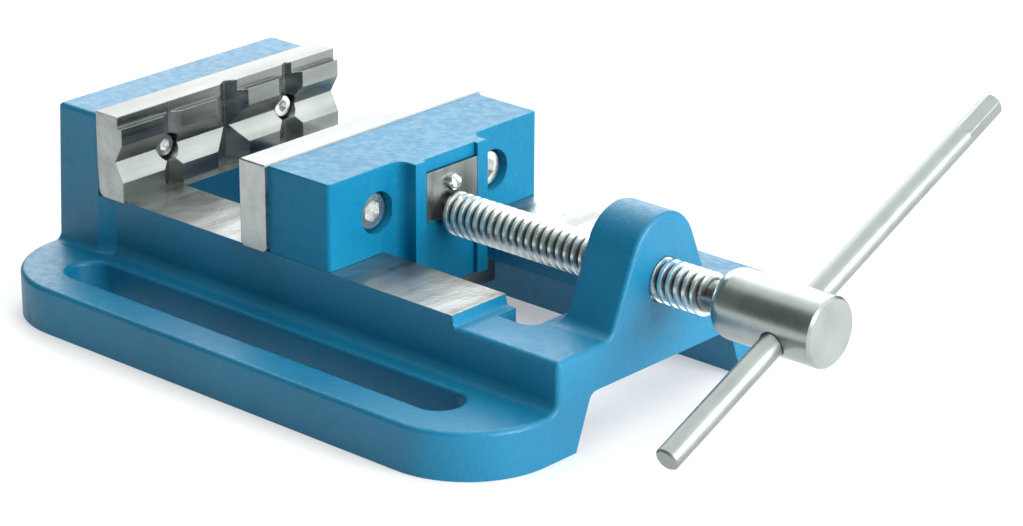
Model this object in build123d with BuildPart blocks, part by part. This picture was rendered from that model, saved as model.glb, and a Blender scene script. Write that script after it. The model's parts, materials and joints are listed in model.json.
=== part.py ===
from build123d import *
import math
import os

# Bench (drill press) vise, millimetres. X runs along the spindle from the fixed jaw to the
# handle, Y across the jaws, Z up. The origin is the centre of the base's underside.

# ---- driving dimensions: base casting ----
base_length = 280.0
base_width = 218.0
flange_height = 20.0
flange_corner = 40.0
foot_radius = 4.5
slot_length = 218.0
slot_width = 20.0
slot_center_x = -2.0
slot_offset = 82.0
rail_height = 45.0
rail_half_width = 62.0
rail_end_x = 85.5
rail_end_slope = 1.0
rail_underside = 25.0
deck_height = 40.5
opening_start_x = -97.0
opening_end_x = 109.0
opening_half_width = 31.0
pocket_start_x = 91.0
pocket_half_width = 42.0
pocket_corner = 6.5
fixed_jaw_height = 80.5
fixed_jaw_depth = 25.0
fixed_jaw_half_width = 63.0
fixed_jaw_draft = 2.5
fixed_jaw_foot_radius = 3.3
fixed_jaw_run_out = 8.0
arch_height = 22.5
arch_foot_half_width = 51.0
arch_top_half_width = 42.5
arch_back_x = -108.0
casting_radius = 2.0

# ---- driving dimensions: yoke and spindle ----
spindle_height = 56.5
yoke_rear_x = 115.5
yoke_radius = 19.3
yoke_arc_height = 64.7
yoke_flank_angle = 23.0
yoke_foot_radius = 6.0
yoke_bore = 18.6
thread_diameter = 18.0
thread_root = 13.5
thread_pitch = 4.0
ridge_root = 6.45
ridge_half_base = 1.25
ridge_half_crest = 0.65
thread_start_x = 29.2
thread_end_x = 165.5
journal_diameter = 13.8
groove_diameter = 10.0
head_start_x = 170.5
head_end_x = 220.5
head_diameter = 28.5
head_shoulder_radius = 7.0
bar_x = 202.7
bar_tilt = 23.6
bar_diameter = 10.0
bar_low_end = -81.0
bar_high_end = 137.5
bar_hex_length = 22.0
bar_hex_flats = 8.8

# ---- driving dimensions: jaws ----
jaw_width = 128.0
plate_top = 82.5
fixed_plate_lip = 13.0
fixed_plate_thickness = 15.5
fixed_plate_step_height = 77.8
groove_top = 70.3
groove_middle = 62.3
groove_bottom = 53.9
groove_depth = 4.5
upright_grooves = {-35.0: 10.4, 0.0: 18.7, 35.0: 14.4}
upright_groove_angle = 120.0
fixed_screw_offset = 35.0
fixed_screw_seat = 4.0
fixed_screw_length = 18.0
fixed_tapped_depth = 15.0
plate_corner_radius = 4.0
moving_plate_front_x = -29.0
moving_plate_thickness = 14.5
moving_jaw_top = 82.0
moving_jaw_rear_x = 19.5
moving_jaw_half_width = 62.0
boss_rear_x = 28.5
boss_half_width = 21.5
boss_root_radius = 4.5
recess_depth = 2.0
recess_half_width = 15.3
plate_screw_offset = 34.5
plate_screw_height = 63.0
plate_screw_size = 10.0
plate_screw_recess = 3.0
plate_screw_length = 30.0
plate_tapped_depth = 11.0
plate_lower_chamfer = 1.5
plate_edge_chamfer = 0.5
jaw_edge_radius = 0.6
bore_diameter = 14.0
bore_bottom_x = -1.5
thrust_disc_thickness = 2.5
guide_plate_length = 30.0
guide_plate_width = 78.0
guide_plate_thickness = 12.0
guide_screw_offset = 16.0
guide_screw_x = 3.0
guide_screw_length = 20.0
guide_tapped_depth = 17.0
guide_plate_corner = 2.0
small_screw_size = 6.0
retaining_plate_width = 30.0
retaining_plate_top = 76.5
retaining_screw_size = 4.0
retaining_screw_height = 69.6
retaining_screw_length = 12.0
retaining_tapped_depth = 14.0
slide_gap = 0.15
fit_gap = 0.1

os.makedirs("parts", exist_ok=True)
front_x = base_length / 2
rear_x = -base_length / 2
fixed_plate_rear_x = rear_x + fixed_jaw_depth
run_out_x = fixed_plate_rear_x + fixed_jaw_run_out
block_low_half_width = fixed_jaw_half_width + fixed_jaw_draft
block_slope_height = fixed_jaw_height - flange_height - fixed_jaw_foot_radius
block_rail_share = (fixed_jaw_height - rail_height) / block_slope_height
block_rail_half_width = fixed_jaw_half_width + block_rail_share * fixed_jaw_draft
moving_block_x = moving_plate_front_x + moving_plate_thickness
tongue_bottom = rail_underside - slide_gap
tongue_half_width = opening_half_width - slide_gap
jaw_bottom = rail_height + slide_gap
fixed_seat_x = fixed_plate_rear_x + fixed_screw_seat
plate_screw_points = [(side * plate_screw_offset, plate_screw_height) for side in (-1, 1)]
plate_washer_thickness = 2.2
plate_head_height = plate_screw_size + plate_washer_thickness
plate_screw_seat_x = moving_jaw_rear_x - plate_screw_recess - plate_head_height
small_washer_thickness = 1.6
guide_screw_recess = 0.5
guide_head_height = small_screw_size + small_washer_thickness
guide_seat_z = tongue_bottom - guide_plate_thickness + guide_head_height + guide_screw_recess


def cap_screw(name, plane, diameter, length):
    """Socket head cap screw whose head is seated on the plane, with its shank along -Z of it."""
    along = Axis(plane.origin, plane.z_dir)
    with BuildPart() as screw:
        with BuildSketch(plane):
            Circle(0.75 * diameter + 0.5)
        extrude(amount=diameter)
        chamfer(screw.faces().sort_by(along)[-1].edges(), 0.08 * diameter)
        with BuildSketch(plane):
            Circle(diameter / 2 - fit_gap)
        extrude(amount=-length)
        chamfer(screw.faces().sort_by(along)[0].edges(), 0.1 * diameter)
        with BuildSketch(plane.offset(diameter)):
            RegularPolygon(0.4 * diameter, 6, major_radius=False)
        extrude(amount=-0.55 * diameter, mode=Mode.SUBTRACT)
    write_part(screw, name)


def spring_washer(name, plane, diameter, thickness):
    """Split spring washer, pressed flat, lying on the plane."""
    with BuildPart() as washer:
        with BuildSketch(plane):
            Circle(0.75 * diameter + 0.5)
            Circle(diameter / 2 + fit_gap, mode=Mode.SUBTRACT)
            with Locations(Location((0.65 * diameter, 0, 0), (0, 0, 30))):
                Rectangle(diameter / 2, 0.08 * diameter, mode=Mode.SUBTRACT)
        extrude(amount=thickness)
    write_part(washer, name)


def write_part(builder, name):
    builder.part.label = name
    export_step(builder.part, f"parts/{name}.step")


def side_wall_section(plane, half_width, top, low_half_width, radius):
    """Section across the base: its sides run out into the flange with a foot radius."""
    low = flange_height / 2
    foot = low_half_width + radius
    start = flange_height + radius
    with BuildSketch(plane) as section:
        with BuildLine():
            Polyline((foot, flange_height), (foot, low), (-foot, low), (-foot, flange_height))
            RadiusArc((-foot, flange_height), (-low_half_width, start), -radius)
            Polyline(
                (-low_half_width, start),
                (-half_width, top),
                (half_width, top),
                (low_half_width, start),
            )
            RadiusArc((low_half_width, start), (foot, flange_height), -radius)
        make_face()
    return section.sketch


def is_rounded(box):
    """Tells from an edge's box whether it is one of the casting's rounded outer edges."""
    near = 0.01
    reach = max(abs(box.min.Y), abs(box.max.Y))
    inner_reach = min(abs(box.min.Y), abs(box.max.Y))
    if box.min.Z < flange_height - near:
        return False
    at_ends = box.min.X > front_x - near or box.max.X < rear_x + near
    on_flange = box.max.Z < flange_height + near and reach > block_low_half_width + foot_radius
    on_block = box.min.Z > fixed_jaw_height - near and box.min.X < fixed_plate_rear_x - near
    on_deck = abs(box.max.Z - deck_height) < near and box.size.Z < near
    beside_deck = on_deck and box.min.X > rail_end_x and inner_reach > rail_half_width - near
    behind_yoke = box.size.X < near and abs(box.max.X - yoke_rear_x) < near
    behind_yoke = behind_yoke and box.min.Z > deck_height + near
    return at_ends or on_flange or on_block or beside_deck or behind_yoke


# ---- base casting ----
flank = math.radians(yoke_flank_angle)
yoke_tangent_y = yoke_radius * math.cos(flank)
yoke_tangent_z = yoke_arc_height + yoke_radius * math.sin(flank)
yoke_root_z = deck_height - 5.0
yoke_root_y = yoke_tangent_y + (yoke_tangent_z - yoke_root_z) * math.tan(flank)
opening_length = opening_end_x - opening_start_x
opening_middle_x = (opening_start_x + opening_end_x) / 2

with BuildPart() as body:
    with BuildSketch(Plane.XY):
        RectangleRounded(base_length, base_width, flange_corner)
    extrude(amount=flange_height)

    # walls and rails, with the lower deck in front of the rails
    rail_start = Plane.YZ.offset(run_out_x)
    rail_section = side_wall_section(
        rail_start, rail_half_width, rail_height, rail_half_width, foot_radius
    )
    extrude(rail_section, amount=front_x - run_out_x)
    with BuildSketch(Plane.XZ.offset(-base_width / 2)):
        with BuildLine():
            Polyline(
                (rail_end_x, rail_height),
                (rail_end_x + rail_end_slope, deck_height),
                (front_x, deck_height),
                (front_x, rail_height),
                close=True,
            )
        make_face()
    extrude(amount=base_width, mode=Mode.SUBTRACT)

    # fixed jaw block, with draft on its sides, and the run-out from its sides into the rails
    block_section = side_wall_section(
        Plane.YZ.offset(rear_x),
        fixed_jaw_half_width,
        fixed_jaw_height,
        block_low_half_width,
        fixed_jaw_foot_radius,
    )
    extrude(block_section, amount=fixed_jaw_depth)
    block_end_section = side_wall_section(
        Plane.YZ.offset(fixed_plate_rear_x),
        block_rail_half_width,
        rail_height,
        block_low_half_width,
        fixed_jaw_foot_radius,
    )
    loft(sections=[block_end_section, rail_section])

    # yoke that carries the spindle
    with BuildSketch(Plane.YZ.offset(yoke_rear_x)):
        with BuildLine():
            Polyline(
                (yoke_tangent_y, yoke_tangent_z),
                (yoke_root_y, yoke_root_z),
                (-yoke_root_y, yoke_root_z),
                (-yoke_tangent_y, yoke_tangent_z),
            )
            ThreePointArc(
                (-yoke_tangent_y, yoke_tangent_z),
                (0, yoke_arc_height + yoke_radius),
                (yoke_tangent_y, yoke_tangent_z),
            )
        make_face()
    extrude(amount=front_x - yoke_rear_x)
    yoke_foot = (
        body.edges()
        .filter_by_position(Axis.Z, deck_height - 0.1, deck_height + 0.1)
        .filter_by_position(Axis.X, yoke_rear_x - 0.1, front_x - 1)
    )
    fillet(yoke_foot, yoke_foot_radius)

    fillet([edge for edge in body.edges() if is_rounded(edge.bounding_box())], casting_radius)

    # slots for the clamping bolts
    with BuildSketch(Plane.XY.offset(flange_height)):
        with Locations((slot_center_x, slot_offset), (slot_center_x, -slot_offset)):
            SlotOverall(slot_length, slot_width)
    extrude(amount=-flange_height, mode=Mode.SUBTRACT)
    slot_rims = (
        body.edges()
        .filter_by_position(Axis.Z, flange_height - 0.1, flange_height + 0.1)
        .filter_by(lambda edge: abs(abs(edge.center().Y) - slot_offset) < slot_width / 2 + 0.1)
    )
    fillet(slot_rims, casting_radius)

    # channel under the rails, open at the front between the two feet
    with BuildSketch(Plane.YZ.offset(arch_back_x)) as arch:
        with BuildLine():
            Polyline(
                (-arch_foot_half_width, 0),
                (-arch_top_half_width, arch_height),
                (arch_top_half_width, arch_height),
                (arch_foot_half_width, 0),
                close=True,
            )
        make_face()
        fillet(arch.vertices().group_by(Axis.Y)[-1], foot_radius)
    extrude(amount=front_x - arch_back_x, mode=Mode.SUBTRACT)
    with BuildSketch(Plane.XY.offset(flange_height)):
        with Locations((opening_middle_x, 0)):
            Rectangle(opening_length, 2 * arch_top_half_width)
    extrude(amount=rail_underside - flange_height, mode=Mode.SUBTRACT)

    # opening between the rails, wider in front of them so that the guide plate goes in
    with BuildSketch(Plane.XY.offset(flange_height)) as opening:
        with Locations((opening_middle_x, 0)):
            Rectangle(opening_length, 2 * opening_half_width)
        with Locations(((pocket_start_x + opening_end_x) / 2, 0)):
            Rectangle(opening_end_x - pocket_start_x, 2 * pocket_half_width)
        fillet(opening.vertices().group_by(Axis.X)[-1], pocket_corner)
    extrude(amount=rail_height, mode=Mode.SUBTRACT)

    # spindle bore and the tapped holes for the fixed jaw plate
    with BuildSketch(Plane.YZ.offset(front_x)):
        with Locations((0, spindle_height)):
            Circle(yoke_bore / 2)
    extrude(amount=yoke_rear_x - front_x, mode=Mode.SUBTRACT)
    with BuildSketch(Plane.YZ.offset(fixed_plate_rear_x)):
        with Locations((-fixed_screw_offset, groove_middle), (fixed_screw_offset, groove_middle)):
            Circle(small_screw_size / 2)
    extrude(amount=-fixed_tapped_depth, mode=Mode.SUBTRACT)
write_part(body, "body")

# ---- fixed jaw plate: a prismatic plate with one lying and three standing vee grooves ----
with BuildPart() as fixed_jaw_plate:
    with BuildSketch(Plane.XZ.offset(-jaw_width / 2)):
        face_x = fixed_plate_rear_x + fixed_plate_thickness
        with BuildLine():
            plate_outline = Polyline(
                (fixed_plate_rear_x + plate_corner_radius, rail_height),
                (face_x, rail_height),
                (face_x, groove_bottom),
                (face_x - groove_depth, groove_middle),
                (face_x, groove_top),
                (face_x, fixed_plate_step_height),
                (fixed_plate_rear_x + fixed_plate_lip, fixed_plate_step_height),
                (fixed_plate_rear_x + fixed_plate_lip, plate_top),
                (fixed_plate_rear_x, plate_top),
                (fixed_plate_rear_x, rail_height + plate_corner_radius),
            )
            RadiusArc(plate_outline @ 1, plate_outline @ 0, -plate_corner_radius)
        make_face()
    extrude(amount=jaw_width)
    for groove_y, groove_width in upright_grooves.items():
        depth = groove_width / 2 / math.tan(math.radians(upright_groove_angle / 2))
        with BuildSketch(Plane.XY.offset(rail_height)):
            with BuildLine():
                Polyline(
                    (face_x - depth, groove_y),
                    (face_x, groove_y - groove_width / 2),
                    (face_x, groove_y + groove_width / 2),
                    close=True,
                )
            make_face()
        extrude(amount=plate_top - rail_height, mode=Mode.SUBTRACT)
    with BuildSketch(Plane.YZ.offset(face_x)):
        with Locations((-fixed_screw_offset, groove_middle), (fixed_screw_offset, groove_middle)):
            Circle(small_screw_size)
    extrude(amount=fixed_seat_x - face_x, mode=Mode.SUBTRACT)
    with BuildSketch(Plane.YZ.offset(face_x)):
        with Locations((-fixed_screw_offset, groove_middle), (fixed_screw_offset, groove_middle)):
            Circle(small_screw_size / 2 + 2 * fit_gap)
    extrude(amount=-fixed_plate_thickness, mode=Mode.SUBTRACT)
write_part(fixed_jaw_plate, "fixed_jaw_plate")

for side, screw_y in {"near": -fixed_screw_offset, "far": fixed_screw_offset}.items():
    seat = Plane((fixed_seat_x, screw_y, groove_middle), z_dir=(1, 0, 0))
    cap_screw(f"fixed_jaw_screw_{side}", seat, small_screw_size, fixed_screw_length)

# ---- moving jaw: block on the rails, boss for the spindle, tongue between the rails ----
with BuildPart() as moving_jaw:
    with BuildSketch(Plane.YZ.offset(moving_block_x)):
        with Locations((0, (jaw_bottom + moving_jaw_top) / 2)):
            Rectangle(2 * moving_jaw_half_width, moving_jaw_top - jaw_bottom)
        with Locations((0, (tongue_bottom + jaw_bottom) / 2)):
            Rectangle(2 * tongue_half_width, jaw_bottom - tongue_bottom)
    extrude(amount=moving_jaw_rear_x - moving_block_x)
    with BuildSketch(Plane.YZ.offset(moving_jaw_rear_x)):
        with Locations((0, (tongue_bottom + moving_jaw_top) / 2)):
            Rectangle(2 * boss_half_width, moving_jaw_top - tongue_bottom)
    extrude(amount=boss_rear_x - moving_jaw_rear_x)
    boss_roots = (
        moving_jaw.edges()
        .filter_by(Axis.Z)
        .filter_by_position(Axis.X, moving_jaw_rear_x - 0.1, moving_jaw_rear_x + 0.1)
        .filter_by_position(Axis.Y, -boss_half_width - 0.1, boss_half_width + 0.1)
    )
    fillet(boss_roots, boss_root_radius)
    rear_corners = (
        moving_jaw.edges()
        .filter_by(Axis.Z)
        .filter_by_position(Axis.X, moving_jaw_rear_x - 0.1, boss_rear_x + 0.1)
        .filter_by(lambda edge: abs(edge.center().Y) > boss_half_width + boss_root_radius + 15)
    )
    fillet(rear_corners, casting_radius)
    jaw_rims = (
        moving_jaw.edges()
        .filter_by(lambda edge: edge.bounding_box().min.Z > moving_jaw_top - 0.1)
        .filter_by_position(Axis.X, moving_block_x + 1, boss_rear_x + 0.1)
    )
    fillet(jaw_rims, jaw_edge_radius)
    with BuildSketch(Plane.XY.offset(moving_jaw_top)):
        with Locations((boss_rear_x - recess_depth / 2, 0)):
            Rectangle(recess_depth, 2 * recess_half_width)
    extrude(amount=tongue_bottom - moving_jaw_top, mode=Mode.SUBTRACT)
    with BuildSketch(Plane.YZ.offset(boss_rear_x)):
        with Locations((0, spindle_height)):
            Circle(bore_diameter / 2)
    extrude(amount=bore_bottom_x - boss_rear_x, mode=Mode.SUBTRACT)
    with BuildSketch(Plane.YZ.offset(boss_rear_x)):
        with Locations((0, retaining_screw_height)):
            Circle(retaining_screw_size / 2)
    extrude(amount=-retaining_tapped_depth, mode=Mode.SUBTRACT)
    with BuildSketch(Plane.YZ.offset(moving_jaw_rear_x)):
        with Locations(*plate_screw_points):
            Circle(0.9 * plate_screw_size)
    extrude(amount=plate_screw_seat_x - moving_jaw_rear_x, mode=Mode.SUBTRACT)
    with BuildSketch(Plane.YZ.offset(plate_screw_seat_x)):
        with Locations(*plate_screw_points):
            Circle(plate_screw_size / 2 + 0.5)
    extrude(amount=moving_block_x - plate_screw_seat_x, mode=Mode.SUBTRACT)
    with BuildSketch(Plane.XY.offset(tongue_bottom)):
        with Locations((guide_screw_x, -guide_screw_offset), (guide_screw_x, guide_screw_offset)):
            Circle(small_screw_size / 2)
    extrude(amount=guide_tapped_depth, mode=Mode.SUBTRACT)
write_part(moving_jaw, "moving_jaw")

with BuildPart() as moving_jaw_plate:
    with BuildSketch(Plane.YZ.offset(moving_plate_front_x)):
        with Locations((0, (jaw_bottom + plate_top) / 2)):
            Rectangle(jaw_width, plate_top - jaw_bottom)
    extrude(amount=moving_plate_thickness)
    lower_edges = moving_jaw_plate.edges().filter_by(Axis.Y).group_by(Axis.Z)[0]
    chamfer(lower_edges, plate_lower_chamfer)
    chamfer(moving_jaw_plate.edges().group_by(Axis.Z)[-1], plate_edge_chamfer)
    with BuildSketch(Plane.YZ.offset(moving_block_x)):
        with Locations(*plate_screw_points):
            Circle(plate_screw_size / 2)
    extrude(amount=-plate_tapped_depth, mode=Mode.SUBTRACT)
write_part(moving_jaw_plate, "moving_jaw_plate")

for side, (screw_y, screw_z) in zip(("near", "far"), plate_screw_points):
    seat = Plane((plate_screw_seat_x, screw_y, screw_z), z_dir=(1, 0, 0))
    spring_washer(f"plate_screw_washer_{side}", seat, plate_screw_size, plate_washer_thickness)
    head_seat = seat.offset(plate_washer_thickness)
    cap_screw(f"plate_screw_{side}", head_seat, plate_screw_size, plate_screw_length)

# ---- guide plate that holds the moving jaw down, screwed under its tongue ----
with BuildPart() as guide_plate:
    with BuildSketch(Plane.XY.offset(tongue_bottom)):
        with Locations((guide_screw_x, 0)):
            RectangleRounded(guide_plate_length, guide_plate_width, guide_plate_corner)
    extrude(amount=-guide_plate_thickness)
    with BuildSketch(Plane.XY.offset(guide_seat_z)):
        with Locations((guide_screw_x, -guide_screw_offset), (guide_screw_x, guide_screw_offset)):
            Circle(small_screw_size)
    extrude(amount=-guide_plate_thickness, mode=Mode.SUBTRACT)
    with BuildSketch(Plane.XY.offset(tongue_bottom)):
        with Locations((guide_screw_x, -guide_screw_offset), (guide_screw_x, guide_screw_offset)):
            Circle(small_screw_size / 2 + 0.3)
    extrude(amount=-guide_plate_thickness, mode=Mode.SUBTRACT)
write_part(guide_plate, "guide_plate")

for side, screw_y in {"near": -guide_screw_offset, "far": guide_screw_offset}.items():
    seat = Plane((guide_screw_x, screw_y, guide_seat_z), x_dir=(1, 0, 0), z_dir=(0, 0, -1))
    spring_washer(f"guide_screw_washer_{side}", seat, small_screw_size, small_washer_thickness)
    head_seat = seat.offset(small_washer_thickness)
    cap_screw(f"guide_screw_{side}", head_seat, small_screw_size, guide_screw_length)

# ---- spindle end: thrust disc in the bore, fork plate in the spindle's groove ----
with BuildPart() as thrust_disc:
    with BuildSketch(Plane.YZ.offset(bore_bottom_x)):
        with Locations((0, spindle_height)):
            Circle(journal_diameter / 2)
    extrude(amount=thrust_disc_thickness)
    chamfer(thrust_disc.edges(), plate_edge_chamfer)
write_part(thrust_disc, "thrust_disc")

recess_floor_x = boss_rear_x - recess_depth
with BuildPart() as retaining_plate:
    with BuildSketch(Plane.YZ.offset(recess_floor_x)) as fork:
        plate_bottom = spindle_height - 1.0
        with Locations((0, (plate_bottom + retaining_plate_top) / 2)):
            Rectangle(retaining_plate_width, retaining_plate_top - plate_bottom)
        with Locations((0, spindle_height)):
            Circle(groove_diameter / 2 + fit_gap, mode=Mode.SUBTRACT)
        with Locations((0, spindle_height - 5)):
            Rectangle(groove_diameter + 2 * fit_gap, 10, mode=Mode.SUBTRACT)
        with Locations((0, retaining_screw_height)):
            Circle(retaining_screw_size / 2 + 0.2, mode=Mode.SUBTRACT)
    extrude(amount=recess_depth)
write_part(retaining_plate, "retaining_plate")

screw_seat = Plane((boss_rear_x, 0, retaining_screw_height), z_dir=(1, 0, 0))
cap_screw("retaining_screw", screw_seat, retaining_screw_size, retaining_screw_length)

# ---- spindle: trapezoidal right-hand thread, grooved journal, solid head with a cross hole ----
spindle_profile_plane = Plane((0, 0, spindle_height), x_dir=(1, 0, 0), z_dir=(0, -1, 0))
journal_end_x = bore_bottom_x + thrust_disc_thickness + fit_gap
bar_direction = Vector(0, math.cos(math.radians(bar_tilt)), math.sin(math.radians(bar_tilt)))
bar_center = Vector(bar_x, 0, spindle_height)

with BuildPart() as thread:
    with BuildLine() as thread_path:
        Helix(thread_pitch, thread_end_x - thread_start_x - 2 * ridge_half_base, ridge_root)
    with BuildSketch(Plane.XZ):
        with BuildLine():
            Polyline(
                (ridge_root, -ridge_half_base),
                (thread_diameter / 2, -ridge_half_crest),
                (thread_diameter / 2, ridge_half_crest),
                (ridge_root, ridge_half_base),
                close=True,
            )
        make_face()
    sweep(path=thread_path.line, is_frenet=True)

with BuildPart() as spindle:
    with BuildSketch(spindle_profile_plane):
        with BuildLine():
            outline = Polyline(
                (head_start_x, 0),
                (journal_end_x, 0),
                (journal_end_x, journal_diameter / 2 - 1),
                (journal_end_x + 1, journal_diameter / 2),
                (recess_floor_x - fit_gap, journal_diameter / 2),
                (recess_floor_x - fit_gap, groove_diameter / 2),
                (boss_rear_x + fit_gap, groove_diameter / 2),
                (boss_rear_x + fit_gap, journal_diameter / 2),
                (thread_start_x, journal_diameter / 2),
                (thread_start_x, thread_root / 2),
                (head_start_x, thread_root / 2),
                (head_start_x, head_diameter / 2 - head_shoulder_radius),
            )
            RadiusArc(
                outline @ 1,
                (head_start_x + head_shoulder_radius, head_diameter / 2),
                head_shoulder_radius,
            )
            Polyline(
                (head_start_x + head_shoulder_radius, head_diameter / 2),
                (head_end_x - 1, head_diameter / 2),
                (head_end_x, head_diameter / 2 - 1),
                (head_end_x, 0),
                (head_start_x, 0),
            )
        make_face()
    revolve(axis=Axis((0, 0, spindle_height), (1, 0, 0)))
    with BuildSketch(Plane(bar_center, z_dir=bar_direction)):
        Circle(bar_diameter / 2 + fit_gap)
    extrude(amount=head_diameter, both=True, mode=Mode.SUBTRACT)
    with Locations(Plane((thread_start_x + ridge_half_base, 0, spindle_height), (0, 1, 0), (1, 0, 0))):
        add(thread.part)
write_part(spindle, "spindle")

# ---- tommy bar, ground to a hexagon at its upper end ----
with BuildPart() as tommy_bar:
    with BuildSketch(Plane(bar_center + bar_low_end * bar_direction, z_dir=bar_direction)):
        Circle(bar_diameter / 2)
    extrude(amount=bar_high_end - bar_low_end)
    chamfer(tommy_bar.faces().filter_by(GeomType.PLANE).edges(), 0.8)
    with BuildSketch(Plane(bar_center + bar_high_end * bar_direction, z_dir=bar_direction)):
        Circle(bar_diameter)
        RegularPolygon(bar_hex_flats / 2, 6, major_radius=False, mode=Mode.SUBTRACT)
    extrude(amount=-bar_hex_length, mode=Mode.SUBTRACT)
write_part(tommy_bar, "tommy_bar")
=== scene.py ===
import json
import math

import bmesh
import bpy
from mathutils import Matrix, Vector


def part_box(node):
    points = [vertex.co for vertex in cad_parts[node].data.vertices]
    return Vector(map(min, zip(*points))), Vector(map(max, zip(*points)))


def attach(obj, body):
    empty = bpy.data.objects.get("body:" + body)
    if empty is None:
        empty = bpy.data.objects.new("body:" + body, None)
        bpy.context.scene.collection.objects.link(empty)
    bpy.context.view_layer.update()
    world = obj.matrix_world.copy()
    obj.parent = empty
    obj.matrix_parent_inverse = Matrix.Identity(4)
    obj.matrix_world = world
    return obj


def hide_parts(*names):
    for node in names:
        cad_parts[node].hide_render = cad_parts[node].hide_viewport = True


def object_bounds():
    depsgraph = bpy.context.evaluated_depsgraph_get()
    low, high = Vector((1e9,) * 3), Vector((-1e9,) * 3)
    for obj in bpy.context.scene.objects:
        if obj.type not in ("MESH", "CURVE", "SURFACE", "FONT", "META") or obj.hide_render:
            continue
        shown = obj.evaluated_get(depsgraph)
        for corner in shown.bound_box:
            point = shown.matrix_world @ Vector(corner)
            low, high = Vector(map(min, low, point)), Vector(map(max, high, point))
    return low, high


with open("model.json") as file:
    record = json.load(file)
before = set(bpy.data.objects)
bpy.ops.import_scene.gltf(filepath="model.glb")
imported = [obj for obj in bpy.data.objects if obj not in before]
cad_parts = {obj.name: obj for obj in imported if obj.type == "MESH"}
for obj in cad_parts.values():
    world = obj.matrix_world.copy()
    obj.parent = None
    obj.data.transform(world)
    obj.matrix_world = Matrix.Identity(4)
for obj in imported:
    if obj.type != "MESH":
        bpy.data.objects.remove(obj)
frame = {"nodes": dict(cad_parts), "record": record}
cad_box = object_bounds()
nodes = frame["nodes"]

# sockets of the Mix node that take and give colours
mix_first = 6
mix_second = 7
mix_result = 2


def is_socket(value):
    return isinstance(value, bpy.types.NodeSocket)


# ---- node helpers ----
class Shader:
    """A material's node tree with short calls for the nodes that the finishes use."""

    def __init__(self, name):
        self.material = bpy.data.materials.new(name)
        self.material.use_nodes = True
        self.tree = self.material.node_tree
        self.tree.nodes.clear()
        self.surface = self.tree.nodes.new("ShaderNodeBsdfPrincipled")
        output = self.tree.nodes.new("ShaderNodeOutputMaterial")
        self.tree.links.new(self.surface.outputs[0], output.inputs["Surface"])
        self.place = self.tree.nodes.new("ShaderNodeTexCoord").outputs["Object"]
        self.facing = self.tree.nodes.new("ShaderNodeNewGeometry").outputs["Normal"]

    def put(self, socket, value):
        if is_socket(value):
            self.tree.links.new(value, socket)
        else:
            socket.default_value = value

    def math(self, operation, first, second=0.0, third=0.0):
        node = self.tree.nodes.new("ShaderNodeMath")
        node.operation = operation
        for socket, value in zip(node.inputs, (first, second, third)):
            self.put(socket, value)
        return node.outputs[0]

    def scaled(self, vector, scale):
        """The vector with each axis multiplied by its own number."""
        node = self.tree.nodes.new("ShaderNodeMapping")
        self.put(node.inputs["Vector"], vector)
        node.inputs["Scale"].default_value = scale
        return node.outputs[0]

    def split(self, vector):
        node = self.tree.nodes.new("ShaderNodeSeparateXYZ")
        self.put(node.inputs[0], vector)
        return node.outputs

    def noise(self, scale, detail=2.0, vector=None, distortion=0.0):
        node = self.tree.nodes.new("ShaderNodeTexNoise")
        self.put(node.inputs["Vector"], self.place if vector is None else vector)
        node.inputs["Scale"].default_value = scale
        node.inputs["Detail"].default_value = detail
        node.inputs["Distortion"].default_value = distortion
        return node.outputs[0]

    def cells(self, scale, smoothness):
        """Distance to the nearest of the random points, for a surface of small round bumps."""
        node = self.tree.nodes.new("ShaderNodeTexVoronoi")
        node.feature = "SMOOTH_F1"
        self.put(node.inputs["Vector"], self.place)
        node.inputs["Scale"].default_value = scale
        node.inputs["Smoothness"].default_value = smoothness
        return node.outputs["Distance"]

    def remap(self, value, low, high, new_low, new_high):
        """The value's range from low to high, eased into the new range and cut off outside it."""
        node = self.tree.nodes.new("ShaderNodeMapRange")
        node.interpolation_type = "SMOOTHSTEP"
        for socket, number in zip(node.inputs, (value, low, high, new_low, new_high)):
            self.put(socket, number)
        return node.outputs[0]

    def ramp(self, value, stops):
        """The colour at value, between stops of (position, colour)."""
        node = self.tree.nodes.new("ShaderNodeValToRGB")
        self.put(node.inputs[0], value)
        elements = node.color_ramp.elements
        for position, _ in stops[len(elements) :]:
            elements.new(position)
        for element, (position, color) in zip(elements, stops):
            element.position = position
            element.color = (*color, 1.0)
        return node.outputs[0]

    def mix(self, share, first, second):
        """Colours first and second, mixed by share."""
        node = self.tree.nodes.new("ShaderNodeMix")
        node.data_type = "RGBA"
        self.put(node.inputs[0], share)
        for place, color in ((mix_first, first), (mix_second, second)):
            self.put(node.inputs[place], color if is_socket(color) else (*color, 1.0))
        return node.outputs[mix_result]

    def bump(self, height, distance, strength, base=None):
        node = self.tree.nodes.new("ShaderNodeBump")
        self.put(node.inputs["Height"], height)
        node.inputs["Distance"].default_value = distance
        node.inputs["Strength"].default_value = strength
        if base is not None:
            self.put(node.inputs["Normal"], base)
        return node.outputs[0]

    def rounded(self, radius):
        """A surface normal that turns softly across sharp edges."""
        node = self.tree.nodes.new("ShaderNodeBevel")
        node.samples = edge_samples
        node.inputs["Radius"].default_value = radius
        return node.outputs[0]

    def finish(self, **sockets):
        """Sets the surface's sockets, named with _ for a space, and gives the material."""
        for name, value in sockets.items():
            self.put(self.surface.inputs[name.replace("_", " ")], value)
        return self.material


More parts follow.
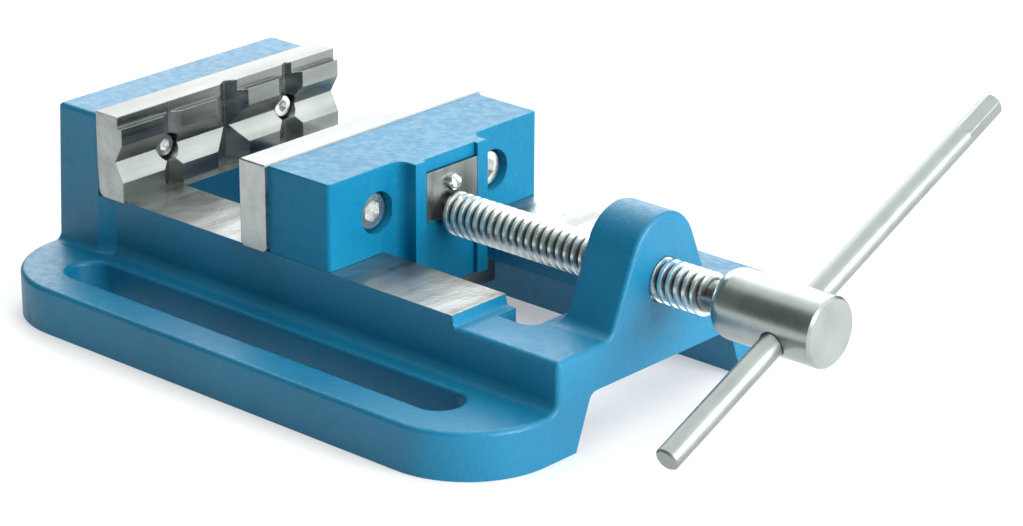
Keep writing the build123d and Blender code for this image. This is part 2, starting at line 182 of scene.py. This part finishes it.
# ---- colours ----
paint_dark = (0.001, 0.105, 0.205)
paint_mid = (0.002, 0.138, 0.260)
paint_light = (0.004, 0.168, 0.312)
paint_tint = (0.20, 0.72, 1.0, 1.0)
base_tint = (0.80, 0.93, 1.0, 1.0)
rail_tones = ((0.21, 0.19, 0.16), (0.31, 0.30, 0.28), (0.42, 0.42, 0.41))
fixed_plate_tones = ((0.20, 0.22, 0.21), (0.28, 0.30, 0.29), (0.36, 0.38, 0.37))
moving_plate_tones = ((0.28, 0.30, 0.30), (0.37, 0.39, 0.39), (0.44, 0.46, 0.46))
retaining_plate_tones = ((0.16, 0.18, 0.17), (0.25, 0.27, 0.26), (0.36, 0.38, 0.37))
oiled_dark = (0.16, 0.16, 0.16)
oiled_light = (0.30, 0.30, 0.31)
head_tone = (0.37, 0.40, 0.385)
bar_tone = (0.27, 0.295, 0.285)
thread_tone = (0.88, 0.91, 0.90)
# painted shade in the thread's groove
groove_shade_tone = (0.20, 0.21, 0.205)
# painted shade in the ring round the tommy bar's cross hole
hole_shade_tone = (0.03, 0.03, 0.03)
screw_tone = (0.82, 0.84, 0.83)
floor_dark = (0.55, 0.55, 0.55)
floor_light = (0.57, 0.57, 0.57)
floor_glow = (1.0, 1.0, 1.0, 1.0)
world_color = (0.75, 0.95, 0.88, 1.0)

# ---- finish values: a noise scale is in features a metre, a depth in metres ----
paint_ior = 1.46
paint_bump = 0.32
patch_scale = 14.0
speck_scale = 900.0
speck_share = 0.35
peel_scale = 520.0
peel_smoothness = 0.6
grain_scale = 1500.0
grain_share = 0.35
gloss_scale = 260.0
peel_depth = 0.00025
fine_mark_scale = 1100.0
fine_mark_along = 18.0
wide_mark_scale = 150.0
wide_mark_along = 9.0
mark_depth = 0.00004
ground_stops = (0.34, 0.50, 0.66)
rail_stops = (0.38, 0.46, 0.58)
rail_roughness = 0.36
rail_level_gap = 0.0006
top_facing = 0.9
# painted shade: how much of the steel's tone the level top faces keep
top_shade = 0.46
edge_radius = 0.0006
edge_samples = 4
ring_scale = 1600.0
ring_along = 12.0
ring_depth = 0.00003
mottle_scale = 90.0
# width of the painted shade ring round the cross hole
hole_shade_width = 0.0009

# ---- places on the vise, in metres ----
rail_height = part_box("fixed_jaw_plate")[0].z
groove_floor_radius = 0.00675
crest_radius = 0.009
groove_edge_radius = 0.88 * crest_radius
head_length = 0.050
spindle_low, spindle_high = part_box("spindle")
spindle_center_z = (spindle_low.z + spindle_high.z) / 2
head_start = spindle_high.x - head_length
retaining_plate_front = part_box("retaining_plate")[1].x
bar_low, bar_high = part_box("tommy_bar")
bar_radius = (bar_high.x - bar_low.x) / 2
bar_center_x = (bar_low.x + bar_high.x) / 2
joints = {joint["name"]: joint for joint in frame["record"]["behaviour"]["joints"]}
bar_axis = Vector(joints["bar_slide"]["axis"])


# ---- finishes ----
def painted(shader):
    """Colour, roughness and height of the blue paint on a casting."""
    patches = shader.math("MULTIPLY", shader.noise(patch_scale, detail=3.0), 1 - speck_share)
    specks = shader.noise(speck_scale)
    tone = shader.math("MULTIPLY_ADD", specks, speck_share, patches)
    color = shader.ramp(tone, [(0.3, paint_dark), (0.5, paint_mid), (0.72, paint_light)])
    rough = shader.remap(shader.noise(gloss_scale, detail=3.0), 0.3, 0.7, 0.38, 0.50)
    peel = shader.cells(peel_scale, peel_smoothness)
    height = shader.math("MULTIPLY_ADD", shader.noise(grain_scale), grain_share, peel)
    return color, rough, height


def streaks(shader, along):
    """Fine and wide parallel grinding marks: noise stretched along the axis 'X', 'Y' or 'Z'."""
    fine = tuple(fine_mark_along if axis == along else fine_mark_scale for axis in "XYZ")
    wide = tuple(wide_mark_along if axis == along else wide_mark_scale for axis in "XYZ")
    fine_marks = shader.noise(1.0, detail=3.0, vector=shader.scaled(shader.place, fine))
    wide_marks = shader.noise(1.0, detail=4.0, vector=shader.scaled(shader.place, wide))
    return fine_marks, wide_marks


def facing_up(shader):
    """1 on level top faces, 0 elsewhere."""
    return shader.math("GREATER_THAN", shader.split(shader.facing)[2], top_facing)


def paint_finish(name):
    shader = Shader(name)
    color, rough, height = painted(shader)
    normal = shader.bump(height, peel_depth, paint_bump)
    return shader.finish(
        Base_Color=color, Roughness=rough, Normal=normal, IOR=paint_ior, Specular_Tint=paint_tint
    )


def base_finish(name):
    """Blue paint, with the rails' tops ground bare."""
    shader = Shader(name)
    color, rough, height = painted(shader)
    level = shader.math("COMPARE", shader.split(shader.place)[2], rail_height, rail_level_gap)
    bare = shader.math("MULTIPLY", facing_up(shader), level)
    fine, wide = streaks(shader, "Y")
    cloud = shader.noise(26.0, detail=4.0, distortion=1.6)
    tone = shader.math("MULTIPLY_ADD", wide, 0.45, shader.math("MULTIPLY", cloud, 0.55))
    steel = shader.ramp(tone, list(zip(rail_stops, rail_tones)))
    painted_normal = shader.bump(height, peel_depth, paint_bump)
    steel_height = shader.math("MULTIPLY", fine, bare)
    normal = shader.bump(steel_height, mark_depth, 0.6, painted_normal)
    smoother = shader.math("SUBTRACT", rail_roughness, rough)
    return shader.finish(
        Base_Color=shader.mix(bare, color, steel),
        Metallic=bare,
        Roughness=shader.math("MULTIPLY_ADD", smoother, bare, rough),
        Normal=normal,
        IOR=paint_ior,
        Specular_Tint=base_tint,
    )


def ground_finish(name, along, tones):
    """Steel in three tones, ground along one axis, with painted shade that darkens its level top
    faces.
    """
    shader = Shader(name)
    fine, wide = streaks(shader, along)
    cloud = shader.noise(30.0, detail=3.0)
    tone = shader.math("MULTIPLY_ADD", wide, 0.6, shader.math("MULTIPLY", cloud, 0.4))
    ground = shader.ramp(tone, list(zip(ground_stops, tones)))
    # painted shade: level top faces take the same steel tones, darkened by top_shade
    shaded_top_tones = [tuple(top_shade * channel for channel in one_tone) for one_tone in tones]
    shaded_top = shader.ramp(tone, list(zip(ground_stops, shaded_top_tones)))
    color = shader.mix(facing_up(shader), ground, shaded_top)
    rough = shader.remap(wide, 0.3, 0.7, 0.24, 0.36)
    normal = shader.bump(fine, mark_depth, 0.45, shader.rounded(edge_radius))
    return shader.finish(
        Base_Color=color, Metallic=1.0, Roughness=rough, Normal=normal, Anisotropic=0.35
    )


def turned(shader, tint, roughness):
    """Colour, roughness and height of zinc-plated turned steel with faint rings round X."""
    stretched = shader.scaled(shader.place, (ring_scale, ring_along, ring_along))
    rings = shader.noise(1.0, vector=stretched)
    mottle = shader.noise(mottle_scale, detail=3.0)
    low, high = (tuple(min(1.0, share * channel) for channel in tint) for share in (0.90, 1.06))
    color = shader.ramp(mottle, [(0.3, low), (0.7, high)])
    rough = shader.remap(mottle, 0.3, 0.7, roughness - 0.03, roughness + 0.03)
    return color, rough, rings


def turned_finish(name, roughness, tint, marks):
    """Turned steel of one tint, its rings as strong as marks."""
    shader = Shader(name)
    color, rough, rings = turned(shader, tint, roughness)
    normal = shader.bump(rings, ring_depth, marks)
    return shader.finish(Base_Color=color, Metallic=1.0, Roughness=rough, Normal=normal)


def length_of(shader, first, second):
    """Length of the vector with these two parts."""
    second_square = shader.math("MULTIPLY", second, second)
    return shader.math("SQRT", shader.math("MULTIPLY_ADD", first, first, second_square))


def spindle_finish(name):
    """Turned steel: satin head with painted shade in a dark ring round its cross hole, bright
    thread with painted shade in its groove.
    """
    shader = Shader(name)
    color, rough, rings = turned(shader, head_tone, 0.30)
    x, y, z = shader.split(shader.place)
    height = shader.math("SUBTRACT", z, spindle_center_z)

    radius = length_of(shader, y, height)
    # painted shade: the thread darkens towards the floor of its groove
    groove_shade = shader.remap(radius, groove_floor_radius, groove_edge_radius, 1.0, 0.0)
    past_jaw = shader.math("GREATER_THAN", x, retaining_plate_front)
    on_thread = shader.math("MULTIPLY", past_jaw, shader.math("LESS_THAN", x, head_start))
    thread_with_groove_shade = shader.mix(groove_shade, thread_tone, groove_shade_tone)

    across = shader.math("MULTIPLY", height, -bar_axis.y)
    beside = shader.math("MULTIPLY_ADD", y, bar_axis.z, across)
    from_bar = length_of(shader, shader.math("SUBTRACT", x, bar_center_x), beside)
    # painted shade: a near-black ring round the cross hole, where the bar passes through
    hole_shade = shader.remap(from_bar, bar_radius + hole_shade_width / 3, bar_radius + hole_shade_width, 1.0, 0.0)
    return shader.finish(
        Base_Color=shader.mix(hole_shade, shader.mix(on_thread, color, thread_with_groove_shade), hole_shade_tone),
        Metallic=1.0,
        Roughness=rough,
        Normal=shader.bump(rings, ring_depth, 0.4),
    )


def dark_finish(name):
    """Machined steel, darkened by oil."""
    shader = Shader(name)
    fine, wide = streaks(shader, "Y")
    color = shader.ramp(wide, [(0.35, oiled_dark), (0.65, oiled_light)])
    rough = shader.remap(wide, 0.3, 0.7, 0.32, 0.46)
    normal = shader.bump(fine, mark_depth, 0.5)
    return shader.finish(Base_Color=color, Metallic=1.0, Roughness=rough, Normal=normal)


finishes = {
    "body": base_finish("base_casting"),
    "moving_jaw": paint_finish("blue_paint"),
    "fixed_jaw_plate": ground_finish("fixed_plate_steel", "Y", fixed_plate_tones),
    "moving_jaw_plate": ground_finish("moving_plate_steel", "Y", moving_plate_tones),
    "retaining_plate": ground_finish("retaining_plate_steel", "Z", retaining_plate_tones),
    "guide_plate": dark_finish("guide_plate_steel"),
    "thrust_disc": dark_finish("thrust_disc_steel"),
    "spindle": spindle_finish("spindle_steel"),
    "tommy_bar": turned_finish("tommy_bar_steel", 0.42, bar_tone, 0.15),
}
bright_screw = turned_finish("screw_steel", 0.26, screw_tone, 0.3)
for name, node in nodes.items():
    node.data.materials.clear()
    node.data.materials.append(finishes.get(name, bright_screw))

# ---- slotted pan-head screw that holds the retaining plate ----
screw_low, screw_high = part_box("retaining_screw")
head_radius = (screw_high.y - screw_low.y) / 2
head_height = 0.0034
head_top = retaining_plate_front + head_height
head_side = 0.45
shank_radius = 0.0019
slot_width = 0.0009
slot_depth = 0.0015
slot_tilt = math.radians(35)
sharp_angle = math.radians(35)
dome_steps = 12
turn_steps = 64
merge_distance = 1e-6


def mesh_object(name, shape):
    mesh = bpy.data.meshes.new(name)
    shape.to_mesh(mesh)
    shape.free()
    thing = bpy.data.objects.new(name, mesh)
    bpy.context.scene.collection.objects.link(thing)
    return thing


def screw_outline():
    """Half outline of the screw as (x, radius), from the shank's tip to the top of the dome."""
    outline = [
        (screw_low.x, 0.0),
        (screw_low.x, shank_radius),
        (retaining_plate_front, shank_radius),
        (retaining_plate_front, head_radius),
    ]
    for step in range(dome_steps + 1):
        angle = step / dome_steps * math.pi / 2
        rise = head_height * (head_side + (1 - head_side) * math.sin(angle))
        outline.append((retaining_plate_front + rise, head_radius * math.cos(angle)))
    return outline


def screw_blank(name):
    """The outline turned round X, without its slot."""
    shape = bmesh.new()
    points = [shape.verts.new((x, 0.0, radius)) for x, radius in screw_outline()]
    lines = [shape.edges.new(pair) for pair in zip(points, points[1:])]
    bmesh.ops.spin(
        shape,
        geom=points + lines,
        cent=(0, 0, 0),
        axis=(1, 0, 0),
        angle=2 * math.pi,
        steps=turn_steps,
    )
    bmesh.ops.remove_doubles(shape, verts=shape.verts, dist=merge_distance)
    bmesh.ops.recalc_face_normals(shape, faces=shape.faces)
    return mesh_object(name, shape)


def slot_cutter():
    """Block that fills the slot and stands past the head on three sides."""
    shape = bmesh.new()
    bmesh.ops.create_cube(shape, size=1.0)
    bmesh.ops.scale(shape, vec=(2 * slot_depth, slot_width, 4 * head_radius), verts=shape.verts)
    tilt = Matrix.Rotation(slot_tilt, 3, "X")
    bmesh.ops.rotate(shape, cent=(0, 0, 0), matrix=tilt, verts=shape.verts)
    bmesh.ops.translate(shape, vec=(head_top, 0, 0), verts=shape.verts)
    return mesh_object("slot_cutter", shape)


screw = screw_blank("retaining_pan_screw")
cutter = slot_cutter()
cut = screw.modifiers.new("slot", "BOOLEAN")
cut.object = cutter
cut.solver = "EXACT"
shown = screw.evaluated_get(bpy.context.evaluated_depsgraph_get())
slotted = bpy.data.meshes.new_from_object(shown)
screw.modifiers.clear()
screw.data = slotted
bpy.data.objects.remove(cutter)
slotted.shade_smooth()
slotted.set_sharp_from_angle(angle=sharp_angle)
slotted.materials.clear()
slotted.materials.append(bright_screw)
screw.location = (0, 0, (screw_low.z + screw_high.z) / 2)
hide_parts("retaining_screw")
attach(screw, "carriage")

# ---- floor ----
floor_size = 12.0
floor_gap = 0.0002
floor_shader = Shader("floor")
floor_tone = floor_shader.ramp(floor_shader.noise(3.0), [(0.3, floor_dark), (0.7, floor_light)])
floor_material = floor_shader.finish(
    Base_Color=floor_tone, Roughness=0.9, Emission_Color=floor_glow, Emission_Strength=0.36
)
floor_height = cad_box[0][2] - floor_gap
bpy.ops.mesh.primitive_plane_add(size=floor_size, location=(0, 0, floor_height))
floor = bpy.context.object
floor.name = "floor"
floor.data.materials.append(floor_material)

# ---- light ----
world = bpy.data.worlds.new("studio")
world.use_nodes = True
background = world.node_tree.nodes["Background"]
background.inputs["Color"].default_value = world_color
background.inputs["Strength"].default_value = 0.22
bpy.context.scene.world = world


def area_light(name, place, target, size, power):
    data = bpy.data.lights.new(name, "AREA")
    data.shape = "RECTANGLE"
    data.size, data.size_y = size
    data.energy = power
    light = bpy.data.objects.new(name, data)
    bpy.context.scene.collection.objects.link(light)
    light.location = place
    light.rotation_euler = (Vector(target) - Vector(place)).to_track_quat("-Z", "Y").to_euler()


vise_middle = (0, 0, 0.04)
area_light("overhead", place=(0.5, 0.9, 2.5), target=(0.5, 0.9, 0), size=(4.0, 4.0), power=90.0)
area_light("back", place=(-2.1, 2.2, 1.7), target=vise_middle, size=(3.2, 3.2), power=120.0)
area_light("key", place=(2.3, 0.15, 0.7), target=vise_middle, size=(1.6, 1.2), power=99.0)
area_light("side", place=(1.7, 2.0, 1.0), target=vise_middle, size=(1.6, 1.4), power=16.0)

# ---- camera ----
aim = Vector((0.0316, 0.0286, 0.0233))
azimuth = math.radians(41.8)
elevation = math.radians(21.5)
roll = math.radians(0.27)
distance = 1.4195
toward = Vector(
    (
        math.sin(azimuth) * math.cos(elevation),
        -math.cos(azimuth) * math.cos(elevation),
        math.sin(elevation),
    )
)
camera_data = bpy.data.cameras.new("camera")
camera_data.sensor_width = 36.0
camera_data.lens = 120.1
camera_data.shift_x = 0.0068
camera_data.shift_y = 0.0068
camera = bpy.data.objects.new("camera", camera_data)
bpy.context.scene.collection.objects.link(camera)
camera.location = aim + distance * toward
camera_turn = (-toward).to_track_quat("-Z", "Y").to_matrix() @ Matrix.Rotation(roll, 3, "Z")
camera.rotation_euler = camera_turn.to_euler()
bpy.context.scene.camera = camera
bpy.context.scene.view_settings.view_transform = "Standard"
